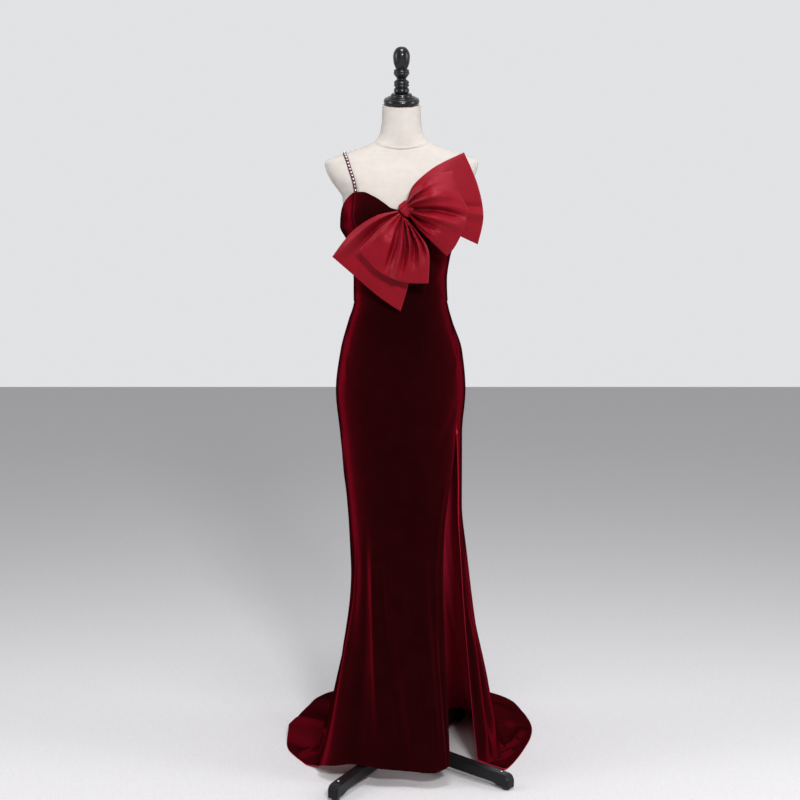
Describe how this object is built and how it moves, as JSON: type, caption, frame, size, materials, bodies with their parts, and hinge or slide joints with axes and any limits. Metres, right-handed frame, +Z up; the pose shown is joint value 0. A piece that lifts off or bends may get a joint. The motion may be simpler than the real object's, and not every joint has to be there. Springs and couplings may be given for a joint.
{
  "type": "mermaid evening gown on a dress form",
  "caption": "Close-fitting velvet evening gown with a large satin bow, a beaded strap, a high slit and a short train, on a limbless dress form with a low cross base.",
  "frame": {"origin": "on the floor, in the middle of the whole object's outline", "axes": "+Z up, -Y the way the gown's front faces, +X to the viewer's right"},
  "size_m": [0.6548, 0.9696, 1.7882],
  "materials": {
    "velvet": "burgundy stretch velvet with a dark pile",
    "satin": "heavy red duchess satin",
    "strap_ribbon": "dark ribbon set with clear crystals",
    "zip_tape": "woven tape",
    "linen": "cream linen stretched over the form",
    "black_wood": "turned wood, black satin lacquer",
    "black_metal": "black satin paint",
    "foot_rubber": "matte black"
  },
  "bodies": {
    "root": {"skirt_front": "velvet", "skirt_side_front": "velvet", "skirt_back_right": "velvet", "skirt_back_left": "velvet", "bodice_centre_front": "velvet", "bodice_side_front_left": "velvet", "bodice_side_front_right": "velvet", "bodice_back_left": "velvet", "bodice_back_right": "velvet", "back_zip": "zip_tape", "zip_pull": "black_metal", "strap": "strap_ribbon", "bow_back_right": "satin", "bow_front_right": "satin", "bow_back_left": "satin", "bow_front_left": "satin", "bow_knot": "satin", "form_torso": "linen", "neck_cap": "black_wood", "finial": "black_wood", "pole": "black_metal", "hub": "black_metal", "leg_1": "black_metal", "leg_2": "black_metal", "leg_3": "black_metal", "leg_4": "black_metal", "foot_1": "foot_rubber", "foot_2": "foot_rubber", "foot_3": "foot_rubber", "foot_4": "foot_rubber"}
  },
  "joints": []
}
